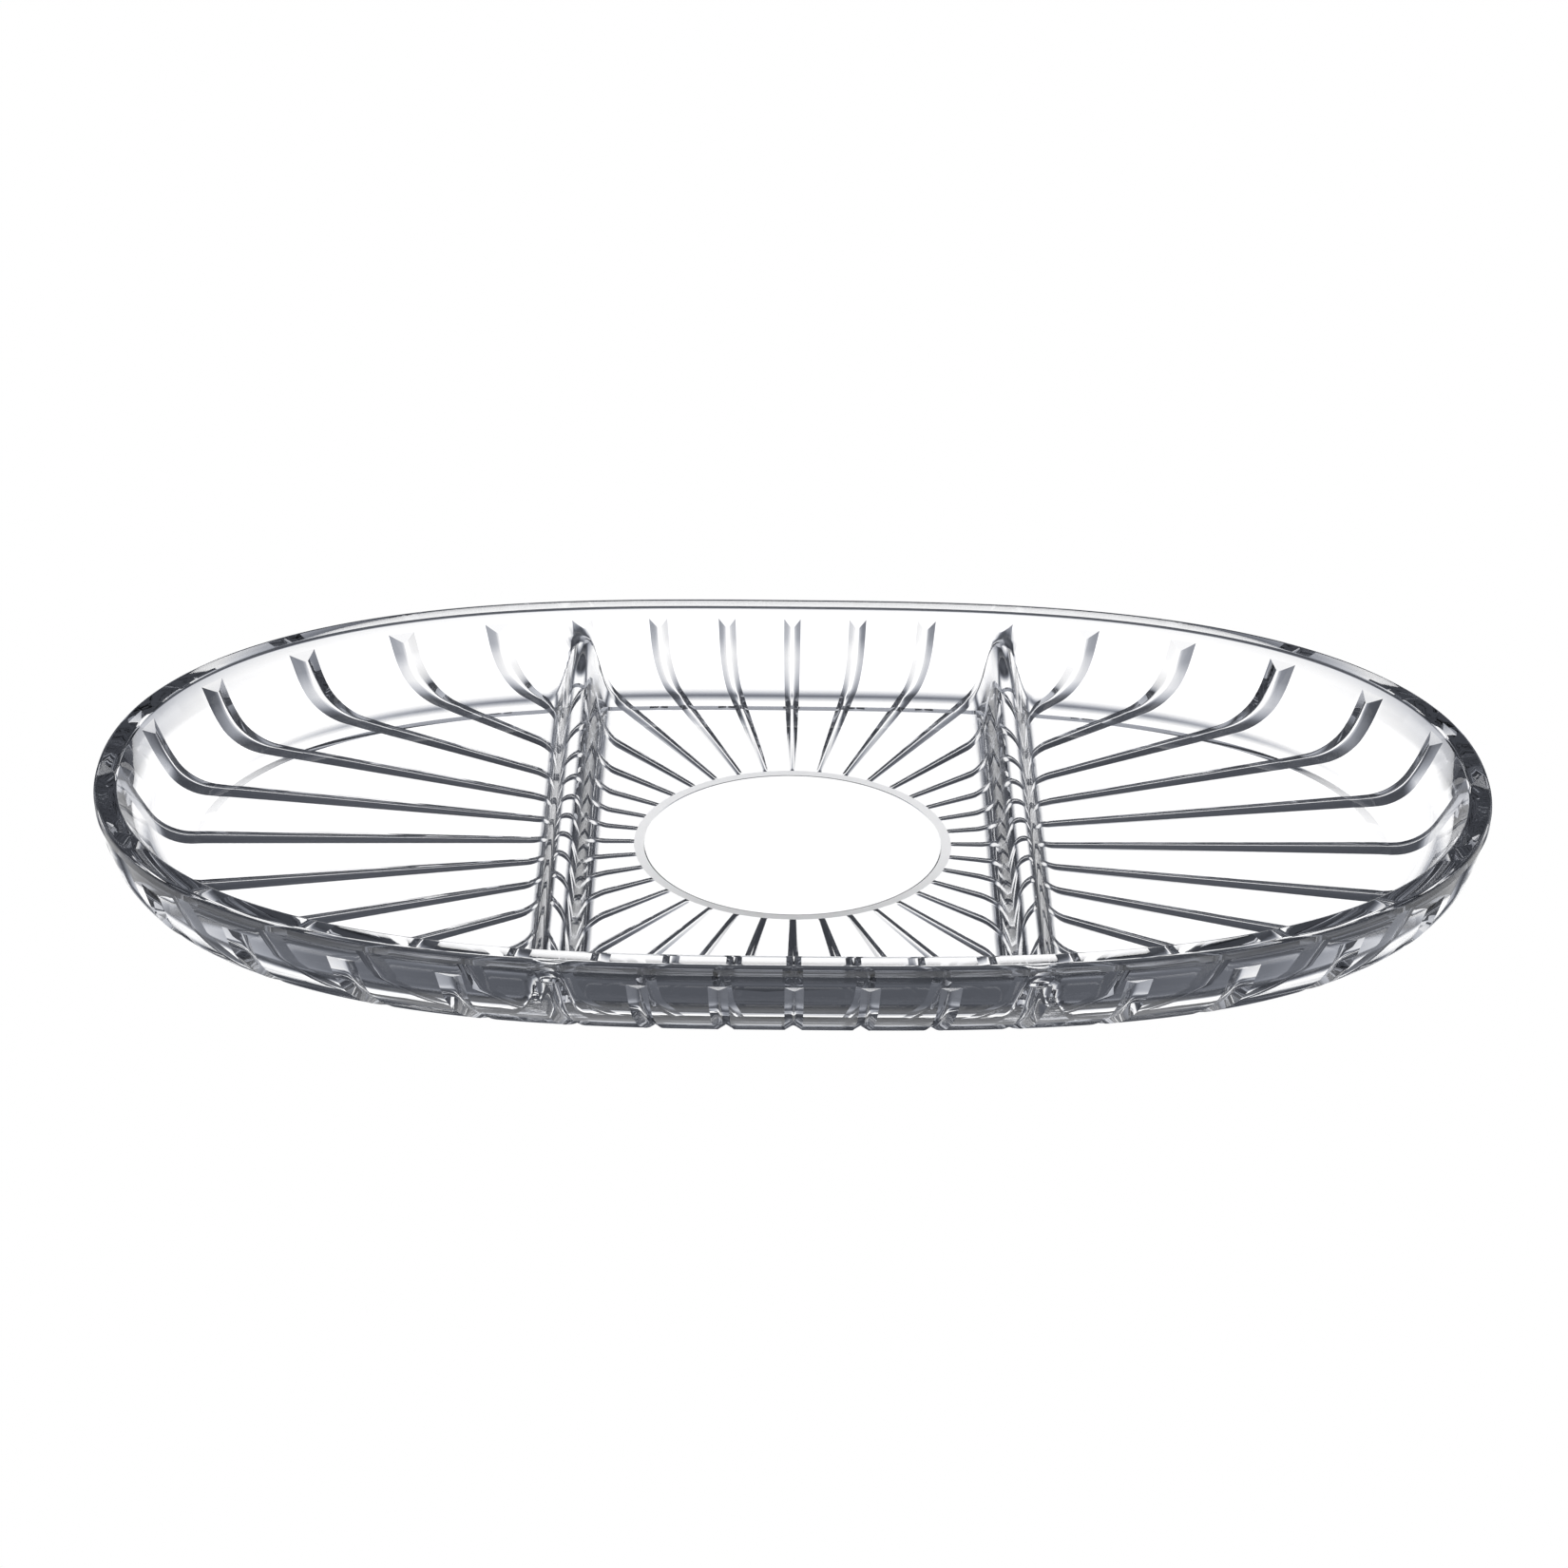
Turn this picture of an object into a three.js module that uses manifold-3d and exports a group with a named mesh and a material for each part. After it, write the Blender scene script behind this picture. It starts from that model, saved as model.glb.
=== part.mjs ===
// Oval serving platter in clear pressed glass, in one piece: a thick floor, a flared wall with a heavy rim,
// two dividers that make three compartments, and a ring of V-cut flutes that starts round a plain medallion
// under the floor, turns up round the base and stops below the rim.
// Millimetres, +Z up, length along X. The origin is the middle of the foot, on the surface it stands on.
import * as THREE from "three";
import { mergeVertices } from "three/addons/utils/BufferGeometryUtils.js";
import Module from "manifold-3d";

// Overall size and outline: a high side power flattens the long sides, an end power of 2 is a round end.
const length = 350;
const width = 204;
const height = 26.7;
const sidePower = 2.93;
const endPower = 2.13;

// Rim: its width across the top, the radius of its two edges, and the upright band outside.
const rimWidth = 5.6;
const rimRound = 1.2;
const rimBand = 2.6;

// Wall: how far each face leans from upright, in degrees, and the curves that turn it into the floor.
const outerLean = 15;
const innerLean = 30;
const outerCurve = 21;
const innerCurve = 12;
const floorTop = 8.4;

// Foot: a narrow flat ring that the platter stands on, with the underside raised inside it.
const footFlat = 0.8;
const footBevel = 2.6;
const footRise = 0.2;

// Medallion: a plain round pad in the middle of the underside, with a low sloped edge.
const medallionRadius = 37.5;
const medallionBevel = 2.7;
const medallionDrop = 0.2;

// Flutes: V-cuts with straight radial edges, so their width in degrees stays the same from end to end.
const fluteCount = 36;
const fluteSpread = 2.55;
const fluteFlank = 32;
const fluteTopBelowRim = 6;
const fluteRunOut = 2.4;
const fluteStart = 1.2;

// Dividers: rounded ridges across the platter, with drafted sides and a fillet to the floor.
const dividerFromMiddle = 56.5;
const dividerBelowRim = 6.9;
const dividerRound = 3.2;
const dividerDraft = 16;
const dividerFillet = 5;

// Fineness of the facets, and the small allowances that keep cuts and joins clean.
const aroundSteps = 108;
const curveSteps = 6;
const edgeSteps = 3;
const cutReach = 1.6;
const joinDepth = 0.05;
const weldDistance = 1e-4;

const halfLength = length / 2;
const halfWidth = width / 2;
const middle = halfWidth;
const degrees = THREE.MathUtils.degToRad;
const outerLeanTan = Math.tan(degrees(outerLean));
const innerLeanTan = Math.tan(degrees(innerLean));
const wallTop = height - rimBand;
const wallFoot = wallTop * outerLeanTan;
const wallSlope = Math.PI / 2 - degrees(outerLean);
const curveFoot = wallFoot + outerCurve * Math.tan(wallSlope / 2);
const footInner = curveFoot + footFlat;
const hollowEdge = footInner + footBevel;

const wasm = await Module();
wasm.setup();

// Distance from the middle to the rim outline drawn in by an inset, along one direction.
function ovalRadius(angle, inset) {
  const reachX = halfLength - inset;
  const reachY = halfWidth - inset;
  if (reachY <= 0) {
    return 0;
  }
  const along = Math.abs(Math.cos(angle)) / reachX;
  const across = Math.abs(Math.sin(angle)) / reachY;
  let low = 0;
  let high = reachX + reachY;
  for (let i = 0; i < 50; i += 1) {
    const tried = (low + high) / 2;
    if ((tried * along) ** sidePower + (tried * across) ** endPower < 1) {
      low = tried;
    } else {
      high = tried;
    }
  }
  return low;
}

// Direction that the drawn-in outline faces, seen from above.
function outlineFacing(angle, inset) {
  const radius = ovalRadius(angle, inset);
  const x = radius * Math.cos(angle);
  const y = radius * Math.sin(angle);
  const reachX = halfLength - inset;
  const reachY = halfWidth - inset;
  const slopeX = (sidePower / reachX) * Math.abs(x / reachX) ** (sidePower - 1) * Math.sign(x);
  const slopeY = (endPower / reachY) * Math.abs(y / reachY) ** (endPower - 1) * Math.sign(y);
  return new THREE.Vector3(slopeX, slopeY, 0).normalize();
}

// Rounds the corners of a section drawn as [inset, height, radius, steps]; a corner with no radius stays sharp.
function roundedSection(corners) {
  const points = [];
  corners.forEach(([inset, z, radius, steps], i) => {
    const corner = new THREE.Vector2(inset, z);
    if (!radius) {
      points.push(corner);
      return;
    }
    const back = new THREE.Vector2(corners[i - 1][0], corners[i - 1][1]).sub(corner).normalize();
    const ahead = new THREE.Vector2(corners[i + 1][0], corners[i + 1][1]).sub(corner).normalize();
    const half = Math.acos(back.dot(ahead)) / 2;
    const centre = back.clone().add(ahead).normalize().multiplyScalar(radius / Math.sin(half)).add(corner);
    const start = back.multiplyScalar(radius / Math.tan(half)).add(corner).sub(centre);
    const turn = Math.PI - 2 * half;
    const side = Math.sign(start.x * ahead.y - start.y * ahead.x);
    for (let step = 0; step <= steps; step += 1) {
      const spoke = start.clone().rotateAround(new THREE.Vector2(), (side * turn * step) / steps);
      points.push(spoke.add(centre));
    }
  });
  return points;
}

// A geometry as a solid: shared corners are welded and flattened triangles are dropped.
function solidOf(geometry) {
  geometry.deleteAttribute("normal");
  geometry.deleteAttribute("uv");
  const welded = mergeVertices(geometry, weldDistance);
  const index = welded.getIndex().array;
  const corners = [];
  for (let i = 0; i < index.length; i += 3) {
    const [a, b, c] = index.slice(i, i + 3);
    if (a !== b && b !== c && c !== a) {
      corners.push(a, b, c);
    }
  }
  const vertProperties = welded.getAttribute("position").array;
  return new wasm.Manifold(new wasm.Mesh({ numProp: 3, vertProperties, triVerts: new Uint32Array(corners) }));
}

// Turns a section about the Z axis.
function roundTurn(section) {
  const geometry = new THREE.LatheGeometry(section, aroundSteps);
  return geometry.rotateX(Math.PI / 2);
}

// Carries a section of [inset, height] points round the oval.
function ovalTurn(section) {
  const geometry = new THREE.LatheGeometry(section, aroundSteps);
  const position = geometry.getAttribute("position");
  for (let turn = 0; turn <= aroundSteps; turn += 1) {
    const angle = ((turn % aroundSteps) * 2 * Math.PI) / aroundSteps;
    section.forEach((point, i) => {
      const radius = ovalRadius(angle, point.x);
      const x = radius * Math.cos(angle);
      position.setXYZ(turn * section.length + i, x, radius * Math.sin(angle), point.y);
    });
  }
  return geometry;
}

// The dish: up the outside from the underside to the rim, then down the inside to the floor.
function dish() {
  const innerTop = [rimWidth, height, rimRound, edgeSteps];
  const innerFoot = rimWidth + (height - floorTop) * innerLeanTan;
  return solidOf(
    ovalTurn(
      roundedSection([
        [middle, footRise],
        [hollowEdge, footRise],
        [footInner, 0],
        [wallFoot, 0, outerCurve, curveSteps],
        [0, wallTop],
        [0, height, rimRound, edgeSteps],
        innerTop,
        [innerFoot, floorTop, innerCurve, curveSteps],
        [middle, floorTop],
      ]),
    ),
  );
}

// The dish filled to its rim and drawn in to the middle of the glass, which trims the dividers.
function filling() {
  const base = floorTop / 2;
  const baseInset = rimWidth / 2 + (height - base) * innerLeanTan;
  return solidOf(
    ovalTurn(
      roundedSection([
        [middle, base],
        [baseInset, base],
        [rimWidth / 2, height],
        [middle, height],
      ]),
    ),
  );
}

// One divider: a bell-shaped section, extruded right across.
function divider(x) {
  const top = height - dividerBelowRim;
  const foot = floorTop - joinDepth;
  const draft = degrees(dividerDraft);
  const roundZ = top - dividerRound;
  const flankX = dividerRound * Math.cos(draft);
  const flankZ = roundZ + dividerRound * Math.sin(draft);
  const drop = (flankZ + dividerFillet * Math.sin(draft) - foot - dividerFillet) / Math.cos(draft);
  const filletX = flankX + drop * Math.sin(draft) + dividerFillet * Math.cos(draft);
  const filletZ = foot + dividerFillet;
  const section = new THREE.Shape();
  section.moveTo(-filletX, 0);
  section.lineTo(filletX, 0);
  section.lineTo(filletX, foot);
  section.absarc(filletX, filletZ, dividerFillet, 1.5 * Math.PI, Math.PI + draft, true);
  section.absarc(0, roundZ, dividerRound, draft, Math.PI - draft, false);
  section.absarc(-filletX, filletZ, dividerFillet, -draft, -0.5 * Math.PI, true);
  section.closePath();
  const geometry = new THREE.ExtrudeGeometry(section, { depth: width, bevelEnabled: false, curveSegments: curveSteps });
  return solidOf(geometry.rotateX(Math.PI / 2).translate(x, halfWidth, 0));
}

// The medallion: a shallow disc that stands out of the underside.
function medallion() {
  const face = footRise - medallionDrop;
  const inGlass = floorTop / 2;
  const edge = medallionRadius + medallionBevel;
  return solidOf(
    roundTurn([
      new THREE.Vector2(0, face),
      new THREE.Vector2(medallionRadius, face),
      new THREE.Vector2(edge, footRise),
      new THREE.Vector2(edge, inGlass),
      new THREE.Vector2(0, inGlass),
    ]),
  );
}

// Stations along a flute: how far out, how high, how steep the glass is there, and whether the V is cut yet.
function fluteStations() {
  const underside = (radius, cut) => ({ out: () => radius, inset: hollowEdge, z: footRise, slope: 0, cut });
  const outside = (inset, z, slope, cut) => ({ out: (angle) => ovalRadius(angle, inset), inset, z, slope, cut });
  const start = medallionRadius + medallionBevel;
  const stations = [underside(start, 0), underside(start + fluteStart, 1)];
  const firstSlope = Math.acos(1 - footRise / outerCurve);
  for (let step = 0; step <= curveSteps; step += 1) {
    const slope = firstSlope + ((wallSlope - firstSlope) * step) / curveSteps;
    const inset = curveFoot - outerCurve * Math.sin(slope);
    stations.push(outside(inset, outerCurve * (1 - Math.cos(slope)), slope, 1));
  }
  const top = height - fluteTopBelowRim;
  const full = top - fluteRunOut * Math.cos(degrees(outerLean));
  stations.push(outside((wallTop - full) * outerLeanTan, full, wallSlope, 1));
  stations.push(outside((wallTop - top) * outerLeanTan, top, wallSlope, 0));
  return stations;
}

// The V of a flute at one station, from its left lip down to the valley and up to its right lip.
function fluteSection(angle, station) {
  const halfSpread = degrees(fluteSpread / 2);
  const flankTan = Math.tan(degrees(fluteFlank));
  const onGlass = (turn) => {
    const radius = station.out(turn);
    return new THREE.Vector3(radius * Math.cos(turn), radius * Math.sin(turn), station.z);
  };
  const facing = outlineFacing(angle, station.inset).multiplyScalar(Math.sin(station.slope));
  facing.z = -Math.cos(station.slope);
  const centre = onGlass(angle);
  const lips = [-1, 1].map((side) => onGlass(angle + side * halfSpread));
  const clear = lips.map((lip) => {
    const sideways = lip.clone().sub(centre).normalize();
    return lip.clone().addScaledVector(facing, cutReach).addScaledVector(sideways, cutReach / flankTan);
  });
  const depth = (lips[0].distanceTo(lips[1]) / 2) * flankTan * station.cut;
  const valley = centre.addScaledVector(facing, -depth);
  return [clear[0], lips[0], valley, lips[1], clear[1]];
}

// Joins sections of equal count into a closed skin, with each quad split on the side of its valley.
function loft(sections, valley) {
  const count = sections[0].length;
  const corners = [];
  for (let i = 0; i + 1 < sections.length; i += 1) {
    for (let j = 0; j < count; j += 1) {
      const here = i * count + j;
      const next = i * count + ((j + 1) % count);
      if (j < valley) {
        corners.push(here, here + count, next, next, here + count, next + count);
      } else {
        corners.push(here, here + count, next + count, here, next + count, next);
      }
    }
  }
  const last = (sections.length - 1) * count;
  for (let j = 1; j + 1 < count; j += 1) {
    const a = (valley + j) % count;
    const b = (valley + j + 1) % count;
    corners.push(valley, a, b, last + valley, last + b, last + a);
  }
  const geometry = new THREE.BufferGeometry().setFromPoints(sections.flat());
  geometry.setIndex(corners);
  return geometry;
}

function flute(angle) {
  const sections = fluteStations().map((station) => fluteSection(angle, station));
  return solidOf(loft(sections, 2));
}

function platter() {
  let glass = dish().add(medallion());
  const trim = filling();
  for (const x of [-dividerFromMiddle, dividerFromMiddle]) {
    glass = glass.add(divider(x).intersect(trim));
  }
  for (let i = 0; i < fluteCount; i += 1) {
    glass = glass.subtract(flute((i * 2 * Math.PI) / fluteCount));
  }
  const mesh = glass.getMesh();
  const geometry = new THREE.BufferGeometry();
  geometry.setAttribute("position", new THREE.BufferAttribute(mesh.vertProperties, mesh.numProp));
  geometry.setIndex(new THREE.BufferAttribute(mesh.triVerts, 1));
  geometry.computeVertexNormals();
  return geometry;
}

const clearGlass = new THREE.MeshStandardMaterial({
  color: 0xf3f7f8,
  roughness: 0.03,
  metalness: 0,
  transparent: true,
  opacity: 0.35,
});

const glassPlatter = new THREE.Mesh(platter(), clearGlass);
glassPlatter.name = "glass_platter";

const servingPlatter = new THREE.Group();
servingPlatter.add(glassPlatter);

export default servingPlatter;
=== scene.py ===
import math
import bmesh
import bpy
from mathutils import Matrix, Vector


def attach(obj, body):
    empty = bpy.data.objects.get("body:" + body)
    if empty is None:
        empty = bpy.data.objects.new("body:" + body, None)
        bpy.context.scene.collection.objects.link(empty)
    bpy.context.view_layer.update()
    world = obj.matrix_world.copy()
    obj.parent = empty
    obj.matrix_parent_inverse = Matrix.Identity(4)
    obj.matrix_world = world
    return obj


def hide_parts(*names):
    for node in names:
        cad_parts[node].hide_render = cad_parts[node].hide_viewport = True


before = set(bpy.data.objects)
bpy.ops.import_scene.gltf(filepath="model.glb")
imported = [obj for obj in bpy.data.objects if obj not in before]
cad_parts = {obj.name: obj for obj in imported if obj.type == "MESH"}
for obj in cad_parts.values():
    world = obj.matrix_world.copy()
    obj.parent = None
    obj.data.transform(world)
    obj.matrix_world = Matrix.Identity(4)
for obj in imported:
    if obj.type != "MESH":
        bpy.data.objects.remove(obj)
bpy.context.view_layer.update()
print("frame loaded")

mm = 0.001
# light turns back many times inside thick glass before it comes out
glassBounces, otherBounces = 32, 16
# where a colour Mix node keeps its colour sockets
colourMix = {"factor": 0, "first": 6, "second": 7, "result": 2}

scene = bpy.context.scene
scene.view_settings.view_transform = "Standard"
scene.cycles.max_bounces = glassBounces
scene.cycles.transmission_bounces = glassBounces
scene.cycles.glossy_bounces = otherBounces
scene.cycles.transparent_max_bounces = otherBounces


def linear(hexColour):
    parts = [int(hexColour[i:i + 2], 16) / 255 for i in (1, 3, 5)]
    return tuple(c / 12.92 if c <= 0.04045 else ((c + 0.055) / 1.055) ** 2.4 for c in parts) + (1.0,)


def addNode(tree, kind, settings=None, links=None):
    node = tree.nodes.new(kind)
    for name, value in (settings or {}).items():
        if isinstance(name, int) or name in node.inputs:
            node.inputs[name].default_value = value
        else:
            setattr(node, name, value)
    for name, source in (links or {}).items():
        tree.links.new(source, node.inputs[name])
    return node


def newMaterial(name):
    material = bpy.data.materials.new(name)
    material.use_nodes = True
    material.node_tree.nodes.clear()
    return material, material.node_tree


# sizes in millimetres and degrees, the solid's to a tenth of a millimetre; then the mesh's counts
platter = {
    "length": 350, "width": 204, "height": 26.7,
    "sidePower": 2.93, "endPower": 2.13,
    "rimWidth": 5.6, "rimRound": 1.2, "rimBand": 2.6,
    "outerLean": 15, "innerLean": 30, "outerCurve": 21, "innerCurve": 12, "floorTop": 8.4,
    "footFlat": 0.8, "footBevel": 2.6, "footRise": 0.3,
    "medallionRadius": 37.5, "medallionBevel": 2.7, "medallionDrop": 0.3,
    "medallionLine": 0.3, "medallionStep": 0.1,
    "fluteCount": 36, "fluteSpread": 2.55, "fluteFlank": 32, "fluteRound": 0.25,
    "fluteTopBelowRim": 6, "fluteRunOut": 2.4, "fluteStart": 1.2,
    "dividerFromMiddle": 56.5, "dividerBelowRim": 6.9, "dividerRound": 3.2,
    "dividerDraft": 16, "dividerFillet": 5, "dividerBlend": 1.5,
    "fluteColumns": (-1, -0.6, -0.3, -0.12, 0, 0.12, 0.3, 0.6, 1), "panelColumns": 15,
    "curveSteps": 14, "edgeSteps": 5, "wallSteps": 4, "floorRows": 14,
    "halvings": 40, "sameWithin": 0.0001, "flatWithin": 0.00001,
}


def ovalRadius(angle, inset):
    # halves the range until the oval's edge is found at this angle
    reachX = platter["length"] / 2 - inset
    reachY = platter["width"] / 2 - inset
    along = abs(math.cos(angle)) / reachX
    across = abs(math.sin(angle)) / reachY
    low, high = 0, reachX + reachY
    for _ in range(platter["halvings"]):
        tried = (low + high) / 2
        if (tried * along) ** platter["sidePower"] + (tried * across) ** platter["endPower"] < 1:
            low = tried
        else:
            high = tried
    return low


def outlineFacing(angle, inset):
    radius = ovalRadius(angle, inset)
    slopes = []
    for at, reach, power in (
        (radius * math.cos(angle), platter["length"] / 2 - inset, platter["sidePower"]),
        (radius * math.sin(angle), platter["width"] / 2 - inset, platter["endPower"]),
    ):
        slopes.append(math.copysign(power / reach * abs(at / reach) ** (power - 1), at))
    return Vector((slopes[0], slopes[1], 0)).normalized()


def dividerHeight(x):
    # height of the nearer ridge above the floor: round top, drafted side, fillet
    across = abs(abs(x) - platter["dividerFromMiddle"])
    draft = math.radians(platter["dividerDraft"])
    radius, fillet = platter["dividerRound"], platter["dividerFillet"]
    top = platter["height"] - platter["dividerBelowRim"] - platter["floorTop"]
    sideX = radius * math.cos(draft)
    sideZ = top - radius + radius * math.sin(draft)
    run = (sideZ + fillet * math.sin(draft) - fillet) / math.cos(draft)
    lowX = sideX + run * math.sin(draft)
    footX = lowX + fillet * math.cos(draft)
    if across < sideX:
        return top - radius + math.sqrt(radius ** 2 - across ** 2)
    if across < lowX:
        return sideZ - (across - sideX) / math.tan(draft)
    if across < footX:
        return fillet - math.sqrt(fillet ** 2 - (footX - across) ** 2)
    return 0


def platterRings():
    # rings round the glass: from the medallion out under the floor, up the outside, over the rim, down inside
    p = platter
    lean, innerLean = math.radians(p["outerLean"]), math.radians(p["innerLean"])
    wallTop = p["height"] - p["rimBand"]
    wallFoot = wallTop * math.tan(lean)
    steepest = math.pi / 2 - lean
    curveFoot = wallFoot + p["outerCurve"] * math.tan(steepest / 2)
    footInner = curveFoot + p["footFlat"]
    hollowEdge = footInner + p["footBevel"]
    bevelSlope = -math.atan(p["footRise"] / p["footBevel"])
    fluteStart = p["medallionRadius"] + p["medallionBevel"]
    rings = [
        {"radius": p["medallionRadius"], "z": p["footRise"] - p["medallionDrop"], "sharp": True},
        {"radius": p["medallionRadius"] + p["medallionLine"], "z": p["medallionStep"], "sharp": True},
        {"radius": fluteStart, "z": p["footRise"], "sharp": True},
        {"radius": fluteStart + p["fluteStart"], "z": p["footRise"], "cut": 1},
        {"inset": hollowEdge, "z": p["footRise"], "cut": 1, "slope": bevelSlope / 2, "sharp": True},
        {"inset": footInner, "z": 0, "cut": 1, "slope": bevelSlope / 2, "sharp": True},
    ]
    for step in range(p["curveSteps"] + 1):
        slope = steepest * step / p["curveSteps"]
        inset = curveFoot - p["outerCurve"] * math.sin(slope)
        rings.append({"inset": inset, "z": p["outerCurve"] * (1 - math.cos(slope)), "slope": slope, "cut": 1})
    fluteTop = p["height"] - p["fluteTopBelowRim"]
    fluteFull = fluteTop - p["fluteRunOut"] * math.cos(lean)
    rings.append({"inset": (wallTop - fluteFull) * math.tan(lean), "z": fluteFull, "slope": steepest,
                  "cut": 1, "runOut": fluteTop - fluteFull})
    rings.append({"inset": (wallTop - fluteTop) * math.tan(lean), "z": fluteTop, "stop": True})
    rings.append({"inset": 0, "z": wallTop, "sharp": True})
    for step in range(p["edgeSteps"] + 1):
        turn = math.pi / 2 * step / p["edgeSteps"]
        inset = p["rimRound"] * (1 - math.cos(turn))
        rings.append({"inset": inset, "z": p["height"] - p["rimRound"] * (1 - math.sin(turn))})
    innerTurn = math.pi / 2 - innerLean
    edge = p["rimRound"] * math.tan(innerTurn / 2)
    for step in range(p["edgeSteps"] + 1):
        turn = innerTurn * step / p["edgeSteps"]
        inset = p["rimWidth"] - edge + p["rimRound"] * math.sin(turn)
        z = p["height"] - p["rimRound"] * (1 - math.cos(turn))
        rings.append({"inset": inset, "z": z, "inside": True})
    innerFoot = p["rimWidth"] + (p["height"] - p["floorTop"]) * math.tan(innerLean)
    curveEnd = innerFoot + p["innerCurve"] * math.tan(innerTurn / 2)
    wallEnd = curveEnd - p["innerCurve"] * math.sin(innerTurn)
    wallEndZ = p["floorTop"] + p["innerCurve"] * (1 - math.cos(innerTurn))
    first = rings[-1]
    for step in range(1, p["wallSteps"]):
        part = step / p["wallSteps"]
        inset = first["inset"] + (wallEnd - first["inset"]) * part
        rings.append({"inset": inset, "z": first["z"] + (wallEndZ - first["z"]) * part, "inside": True})
    for step in range(p["curveSteps"] + 1):
        turn = innerTurn * (1 - step / p["curveSteps"])
        inset = curveEnd - p["innerCurve"] * math.sin(turn)
        z = p["floorTop"] + p["innerCurve"] * (1 - math.cos(turn))
        rings.append({"inset": inset, "z": z, "inside": True})
    for row in range(1, p["floorRows"] + 1):
        draw = 1 - row / p["floorRows"]
        rings.append({"inset": curveEnd, "z": p["floorTop"], "inside": True, "draw": draw})
    return rings


def fluteDepth(share, halfWidth):
    # a V with a rounded bottom: full depth in the valley, none at the lips
    flank = math.tan(math.radians(platter["fluteFlank"]))
    soft = platter["fluteRound"]
    return (math.hypot(halfWidth, soft) - math.hypot(halfWidth * share, soft)) * flank


def columnPlace(column):
    # the angle of a column, and how far across its flute it lies: the lips are at -1 and 1
    p = platter
    flute, slot = divmod(column, len(p["fluteColumns"]) + p["panelColumns"])
    pitch = 2 * math.pi / p["fluteCount"]
    lip = math.radians(p["fluteSpread"] / 2)
    if slot < len(p["fluteColumns"]):
        share = p["fluteColumns"][slot]
        return flute * pitch + lip * share, share
    along = (slot - len(p["fluteColumns"]) + 1) / (p["panelColumns"] + 1)
    return flute * pitch + lip + (pitch - 2 * lip) * along, None


def ringPoint(ring, column):
    p = platter
    angle, share = columnPlace(column)
    inset, z = ring.get("inset"), ring["z"]
    cutHere = ring.get("cut") and share is not None
    halfSpread = math.sin(math.radians(p["fluteSpread"] / 2))
    if cutHere and "runOut" in ring:
        # the flat stop facet rises from the valley to the two lips
        halfWidth = ovalRadius(angle, inset) * halfSpread
        left = fluteDepth(share, halfWidth) / fluteDepth(0, halfWidth)
        z += ring["runOut"] * (1 - left)
        inset -= ring["runOut"] * (1 - left) * math.tan(math.radians(p["outerLean"]))
    radius = ring["radius"] if "radius" in ring else ovalRadius(angle, inset)
    point = Vector((radius * math.cos(angle), radius * math.sin(angle), z))
    if cutHere:
        slope = ring.get("slope", 0)
        facing = outlineFacing(angle, inset) * math.sin(slope) if slope else Vector((0, 0, 0))
        facing.z = -math.cos(slope)
        point -= facing * fluteDepth(share, radius * halfSpread)
    if ring.get("inside"):
        # the higher of wall and ridge, eased together where they meet
        point.y *= ring.get("draw", 1)
        wall = max(ring["z"] - p["floorTop"], 0)
        ridge = dividerHeight(point.x)
        blend = min(p["dividerBlend"], wall, ridge)
        meet = max(blend - abs(wall - ridge), 0)
        point.z = p["floorTop"] + max(wall, ridge) + (meet ** 2 / blend / 4 if meet else 0)
    return point * mm


def buildPlatter():
    p = platter
    slots = len(p["fluteColumns"]) + p["panelColumns"]
    lips = (0, len(p["fluteColumns"]) - 1)
    rings = platterRings()
    bm = bmesh.new()
    number = bm.verts.layers.int.new("column")
    made = bmesh.ops.create_circle(bm, cap_ends=True, segments=slots * p["fluteCount"],
                                   radius=p["medallionRadius"] * mm)
    start = sorted(made["verts"], key=lambda v: math.atan2(v.co.y, v.co.x) % (2 * math.pi))
    for column, vert in enumerate(start):
        vert[number] = column
        vert.co = ringPoint(rings[0], column)
    edges = list(bm.edges)
    for edge in edges:
        edge.smooth = False
    for before, ring in zip(rings, rings[1:]):
        grown = bmesh.ops.extrude_edge_only(bm, edges=edges)["geom"]
        verts = [g for g in grown if isinstance(g, bmesh.types.BMVert)]
        faces = [g for g in grown if isinstance(g, bmesh.types.BMFace)]
        for vert in verts:
            vert.co = ringPoint(ring, vert[number])
        fresh = set(verts)
        edges = []
        for face in faces:
            face.smooth = True
        for edge in {e for f in faces for e in f.edges}:
            ends = [v in fresh for v in edge.verts]
            slot = [v[number] % slots for v in edge.verts]
            onFlute = all(s <= lips[1] for s in slot)
            if all(ends):
                edges.append(edge)
                edge.smooth = not (ring.get("sharp") or onFlute and ("runOut" in ring or ring.get("stop")))
            elif any(ends) and slot[0] in lips:
                edge.smooth = not (before.get("cut") and (ring.get("cut") or ring.get("stop")))
    bmesh.ops.remove_doubles(bm, verts=bm.verts, dist=p["sameWithin"] * mm)
    bmesh.ops.dissolve_degenerate(bm, edges=bm.edges, dist=p["flatWithin"] * mm)
    bmesh.ops.recalc_face_normals(bm, faces=bm.faces)
    mesh = bpy.data.meshes.new("pressed_platter")
    bm.to_mesh(mesh)
    bm.free()
    piece = bpy.data.objects.new("pressed_platter", mesh)
    scene.collection.objects.link(piece)
    print("platter built,", len(mesh.polygons), "faces")
    return piece


# clear soda-lime glass, pressed and fire-polished: see-through, dark at edges where light turns back inside,
# with faint waves left by the mould and a satin band round the medallion
clearGlass = {
    "colour": "#FDFDFE", "ior": 1.52,
    "waveSize": 9, "waveHeight": 0.03, "waveStrength": 0.1, "waveDetail": 1.0,
    "satinRoughness": 0.3, "satinInner": 37.7, "satinOuter": 40.3, "satinEdge": 0.2, "satinBelow": 1,
}


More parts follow.
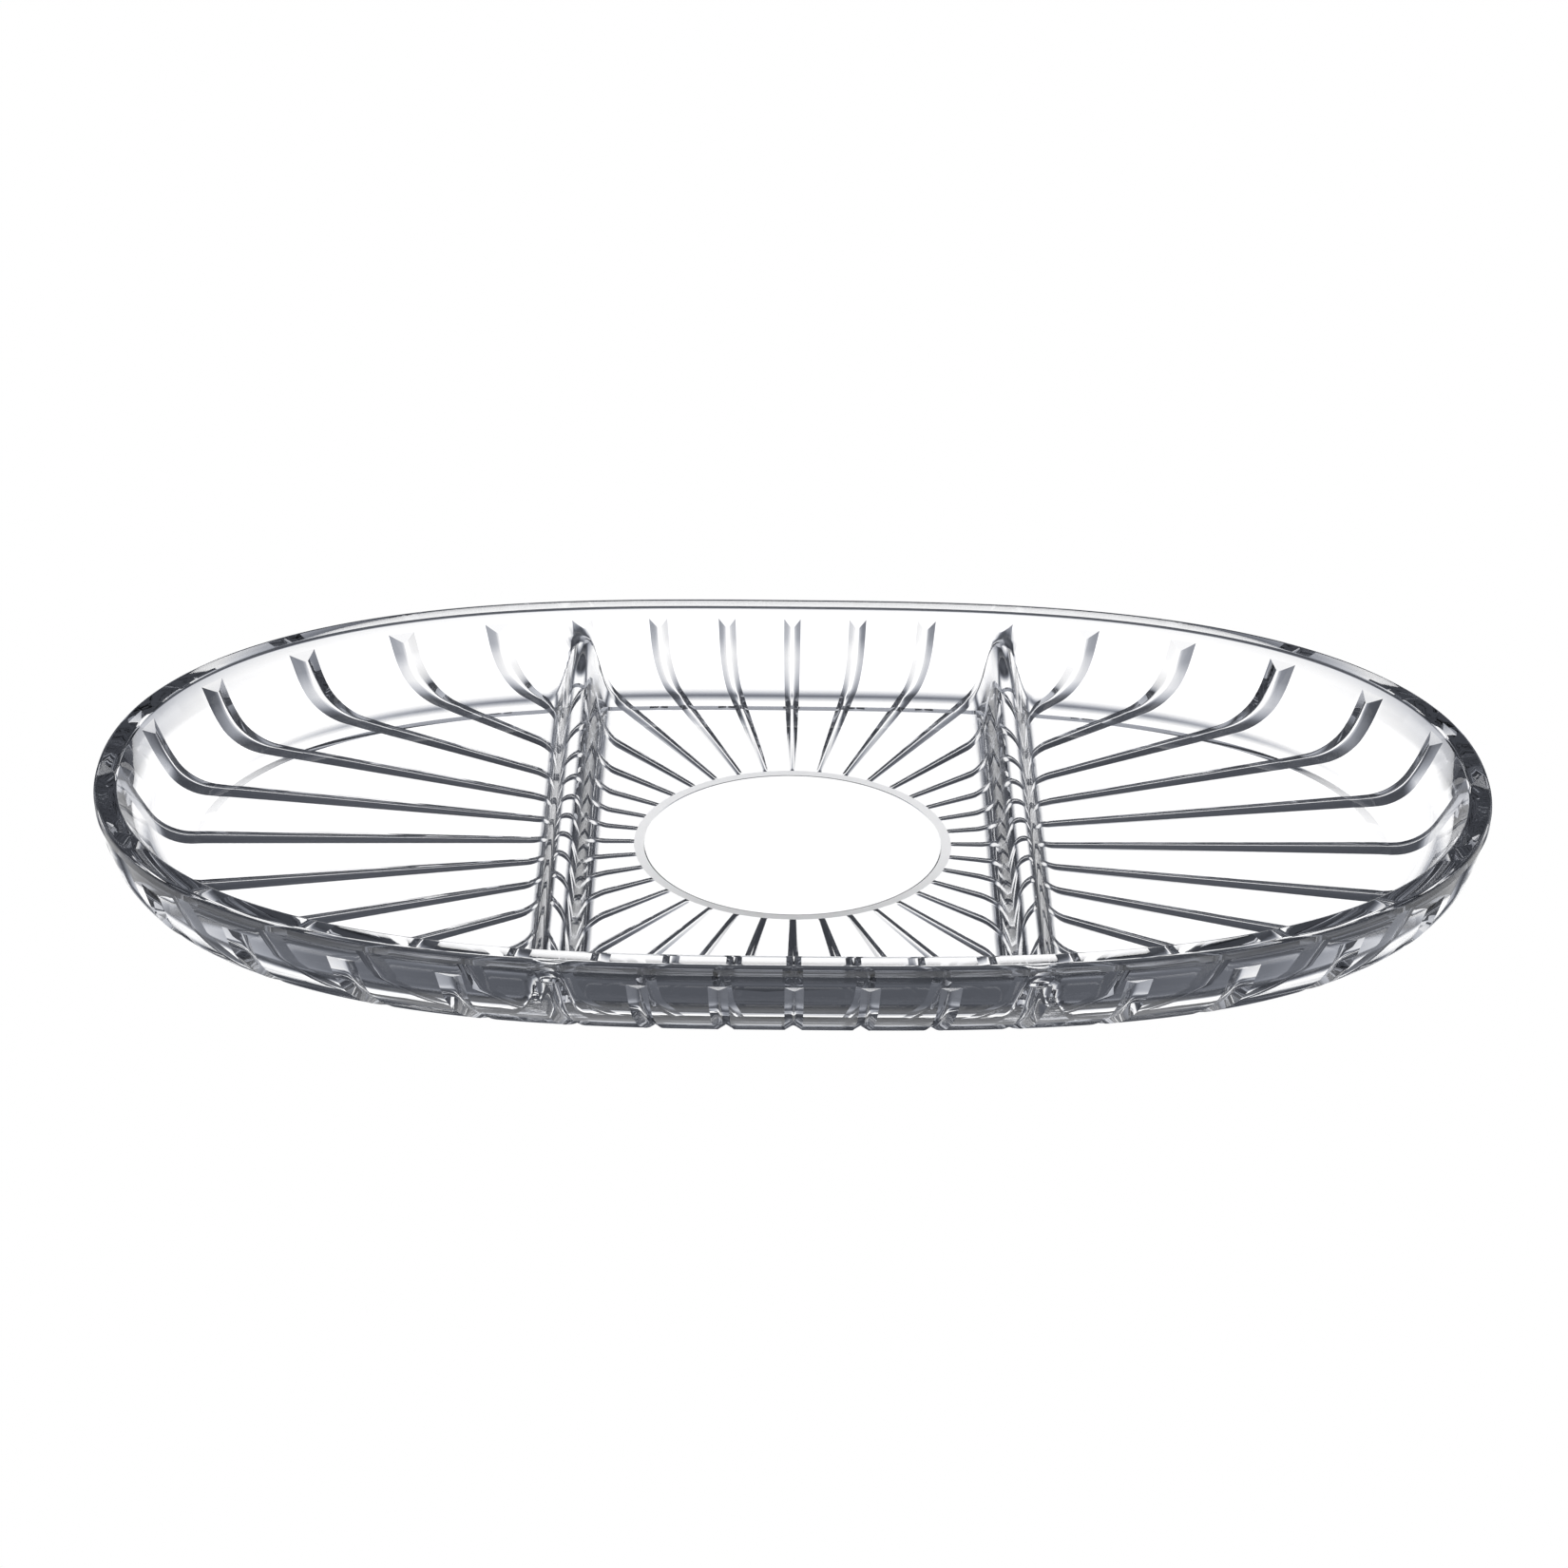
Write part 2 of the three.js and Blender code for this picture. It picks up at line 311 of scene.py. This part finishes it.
def makeGlass():
    g = clearGlass
    material, tree = newMaterial("pressed_soda_lime_glass")
    where = addNode(tree, "ShaderNodeTexCoord")
    wave = addNode(tree, "ShaderNodeTexNoise", {"Scale": 1 / (g["waveSize"] * mm), "Detail": g["waveDetail"]},
                   {"Vector": where.outputs["Object"]})
    bump = addNode(tree, "ShaderNodeBump", {"Strength": g["waveStrength"], "Distance": g["waveHeight"] * mm},
                   {"Height": wave.outputs[0]})
    split = addNode(tree, "ShaderNodeSeparateXYZ", links={"Vector": where.outputs["Object"]})
    flat = addNode(tree, "ShaderNodeCombineXYZ", links={"X": split.outputs["X"], "Y": split.outputs["Y"]})
    radius = addNode(tree, "ShaderNodeVectorMath", {"operation": "LENGTH"}, {0: flat.outputs[0]})
    satin = addNode(tree, "ShaderNodeMath", {"operation": "LESS_THAN", 1: g["satinBelow"] * mm},
                    {0: split.outputs["Z"]})
    for edge, side in (("satinInner", 1), ("satinOuter", -1)):
        fade = addNode(tree, "ShaderNodeMapRange", {
            "From Min": (g[edge] - side * g["satinEdge"] / 2) * mm,
            "From Max": (g[edge] + side * g["satinEdge"] / 2) * mm,
        }, {"Value": radius.outputs["Value"]})
        satin = addNode(tree, "ShaderNodeMath", {"operation": "MULTIPLY"},
                        {0: satin.outputs[0], 1: fade.outputs[0]})
    rough = addNode(tree, "ShaderNodeMath", {"operation": "MULTIPLY", 1: g["satinRoughness"]},
                    {0: satin.outputs[0]})
    shader = addNode(tree, "ShaderNodeBsdfPrincipled", {
        "Base Color": linear(g["colour"]),
        "IOR": g["ior"],
        "Transmission Weight": 1.0,
    }, {"Roughness": rough.outputs[0], "Normal": bump.outputs[0]})
    addNode(tree, "ShaderNodeOutputMaterial", links={"Surface": shader.outputs[0]})
    return material


glassPiece = buildPlatter()
glassPiece.data.materials.append(makeGlass())
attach(glassPiece, "root")
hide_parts("glass_platter")

# matt white floor: plain white to the eye, while rays in the glass pass it and see the studio below
floor = {"size": 8000, "below": 0.05, "colour": "#F2F2F2", "shown": "#FFFFFF", "shownStrength": 1.0}


def makeFloor():
    material, tree = newMaterial("matt_white_floor")
    path = addNode(tree, "ShaderNodeLightPath")
    matt = addNode(tree, "ShaderNodeBsdfDiffuse", {"Color": linear(floor["colour"])})
    glow = addNode(tree, "ShaderNodeEmission", {
        "Color": linear(floor["shown"]), "Strength": floor["shownStrength"],
    })
    clear = addNode(tree, "ShaderNodeBsdfTransparent")
    seen = addNode(tree, "ShaderNodeMixShader", links={
        "Fac": path.outputs["Is Camera Ray"], 1: matt.outputs[0], 2: glow.outputs[0],
    })
    either = addNode(tree, "ShaderNodeMath", {"operation": "MAXIMUM"}, {
        0: path.outputs["Is Glossy Ray"], 1: path.outputs["Is Transmission Ray"],
    })
    through = addNode(tree, "ShaderNodeMixShader", links={
        "Fac": either.outputs[0], 1: seen.outputs[0], 2: clear.outputs[0],
    })
    addNode(tree, "ShaderNodeOutputMaterial", links={"Surface": through.outputs[0]})
    bm = bmesh.new()
    bmesh.ops.create_grid(bm, x_segments=1, y_segments=1, size=floor["size"] / 2 * mm)
    bmesh.ops.translate(bm, verts=bm.verts, vec=(0, 0, -floor["below"] * mm))
    mesh = bpy.data.meshes.new("floor")
    bm.to_mesh(mesh)
    bm.free()
    piece = bpy.data.objects.new("floor", mesh)
    piece.data.materials.append(material)
    scene.collection.objects.link(piece)
    print("floor laid")


makeFloor()

# studio: (rise in degrees, brightness) behind the platter as the photo sees it, at its sides and in front;
# the edges are degrees away from straight behind, and straight and trapped count a ray's turns
studio = {
    "behind": (
        (-90, 0.05), (-84, 0.15), (-78, 0.06), (-70, 0.05), (-60, 0.04), (-50, 0.1), (-43, 0.06),
        (-40, 0.2), (-36.5, 0.8), (-33, 1.28), (-24, 1.31), (-16, 1.1), (-9, 1.0), (-4, 0.7),
        (2, 0.45), (10, 0.15), (24, 0.06), (40, 0.1), (62, 0.7), (90, 0.7),
    ),
    "aside": (
        (-90, 0.1), (-80, 0.12), (-70, 0.3), (-60, 0.1), (-50, 0.1), (-40, 0.08), (-28, 0.05),
        (-14, 0.03), (-5, 0.0), (38, 0.03), (60, 0.4), (90, 0.7),
    ),
    "before": (
        (-90, 0.1), (-62, 0.2), (-46, 0.7), (-36, 1.05), (-27, 1.15), (-15, 1.1), (-5, 0.8),
        (4, 0.3), (16, 0.06), (46, 0.06), (62, 0.5), (90, 0.7),
    ),
    "under": ((-90, 1.15), (-70, 1.15), (-62, 0.0)),
    "behindEdge": (15, 32), "beforeEdge": (30, 40),
    "straight": 3.5, "trapped": 0.065, "trappedFrom": 5.2, "trappedTo": 9,
    "seen": 1.0, "dark": "#E4ECFF", "bright": "#FFFFFF",
}


def makeStudio():
    world = bpy.data.worlds.new("studio")
    world.use_nodes = True
    tree = world.node_tree
    tree.nodes.clear()
    where = addNode(tree, "ShaderNodeTexCoord")
    split = addNode(tree, "ShaderNodeSeparateXYZ", links={"Vector": where.outputs["Generated"]})
    height = addNode(tree, "ShaderNodeMapRange", {"From Min": -1.0, "From Max": 1.0},
                     {"Value": split.outputs["Z"]})
    flat = addNode(tree, "ShaderNodeCombineXYZ", links={"X": split.outputs["X"], "Y": split.outputs["Y"]})
    compass = addNode(tree, "ShaderNodeVectorMath", {"operation": "NORMALIZE"}, {0: flat.outputs[0]})
    facing = addNode(tree, "ShaderNodeSeparateXYZ", links={"Vector": compass.outputs[0]})
    levels = {}
    for part in ("behind", "aside", "before", "under"):
        ramp = addNode(tree, "ShaderNodeValToRGB", links={"Fac": height.outputs[0]})
        stops = ramp.color_ramp.elements
        while len(stops) < len(studio[part]):
            stops.new(0.5)
        for stop, (rise, level) in zip(stops, studio[part]):
            stop.position = (math.sin(math.radians(rise)) + 1) / 2
            stop.color = (level, level, level, 1)
        levels[part] = ramp.outputs["Color"]
    total = levels["aside"]
    for part, nearLevel, farLevel in (("behind", 1.0, 0.0), ("before", 0.0, 1.0)):
        near, far = (math.cos(math.radians(edge)) for edge in studio[part + "Edge"])
        share = addNode(tree, "ShaderNodeMapRange", {
            "interpolation_type": "SMOOTHSTEP",
            "From Min": far, "From Max": near, "To Min": farLevel, "To Max": nearLevel,
        }, {"Value": facing.outputs["Y"]})
        mixed = addNode(tree, "ShaderNodeMix", {"data_type": "RGBA"}, {
            colourMix["factor"]: share.outputs[0],
            colourMix["first"]: total, colourMix["second"]: levels[part],
        })
        total = mixed.outputs[colourMix["result"]]
    # seen straight down through the glass the floor is white
    path = addNode(tree, "ShaderNodeLightPath")
    straight = addNode(tree, "ShaderNodeMath", {"operation": "LESS_THAN", 1: studio["straight"]},
                       {0: path.outputs["Ray Depth"]})
    below = addNode(tree, "ShaderNodeMath", {"operation": "MULTIPLY"},
                    {0: straight.outputs[0], 1: levels["under"]})
    lit = addNode(tree, "ShaderNodeMath", {"operation": "MAXIMUM"}, {0: total, 1: below.outputs[0]})
    # light that has turned many times inside comes out dim and even
    often = addNode(tree, "ShaderNodeMapRange", {
        "From Min": studio["trappedFrom"], "From Max": studio["trappedTo"],
    }, {"Value": path.outputs["Ray Depth"]})
    calm = addNode(tree, "ShaderNodeMix", {"B": studio["trapped"]},
                   {"Factor": often.outputs[0], "A": lit.outputs[0]})
    # past the floor's edge the camera sees plain white
    seen = addNode(tree, "ShaderNodeMix", {"B": studio["seen"]},
                   {"Factor": path.outputs["Is Camera Ray"], "A": calm.outputs[0]})
    # dim directions are a little blue, as in the photo's grey edges
    tint = addNode(tree, "ShaderNodeMix", {
        "data_type": "RGBA",
        colourMix["first"]: linear(studio["dark"]), colourMix["second"]: linear(studio["bright"]),
    }, {colourMix["factor"]: seen.outputs[0]})
    sky = addNode(tree, "ShaderNodeBackground", links={
        "Color": tint.outputs[colourMix["result"]], "Strength": seen.outputs[0],
    })
    addNode(tree, "ShaderNodeOutputWorld", links={"Surface": sky.outputs[0]})
    scene.world = world
    print("studio lit")


makeStudio()

# the photo's view in millimetres and degrees, worked out from the rim's outline; it looks at the middle of
# the rim's top plane
view = {"lens": 100.95, "sensor": 36, "distance": 1106.3, "elevation": 26.842, "turn": 0.482, "roll": 0.765,
        "shiftX": -0.0061, "shiftY": -0.0104, "sightEnd": 50000}


def makeCamera():
    rise, turn, roll = (math.radians(view[k]) for k in ("elevation", "turn", "roll"))
    ahead = Vector((math.sin(turn) * math.cos(rise), math.cos(turn) * math.cos(rise), -math.sin(rise)))
    right = Vector((math.cos(turn), -math.sin(turn), 0))
    up = right.cross(ahead)
    rightRolled = right * math.cos(roll) + up * math.sin(roll)
    upRolled = up * math.cos(roll) - right * math.sin(roll)
    place = Vector((0, 0, platter["height"])) - ahead * view["distance"]
    data = bpy.data.cameras.new("photo_view")
    data.lens = view["lens"]
    data.sensor_width = view["sensor"]
    data.shift_x = view["shiftX"]
    data.shift_y = view["shiftY"]
    data.clip_end = view["sightEnd"] * mm
    camera = bpy.data.objects.new("photo_view", data)
    turned = Matrix((rightRolled, upRolled, -ahead)).transposed()
    camera.matrix_world = Matrix.Translation(place * mm) @ turned.to_4x4()
    scene.collection.objects.link(camera)
    scene.camera = camera
    print("camera set")


makeCamera()
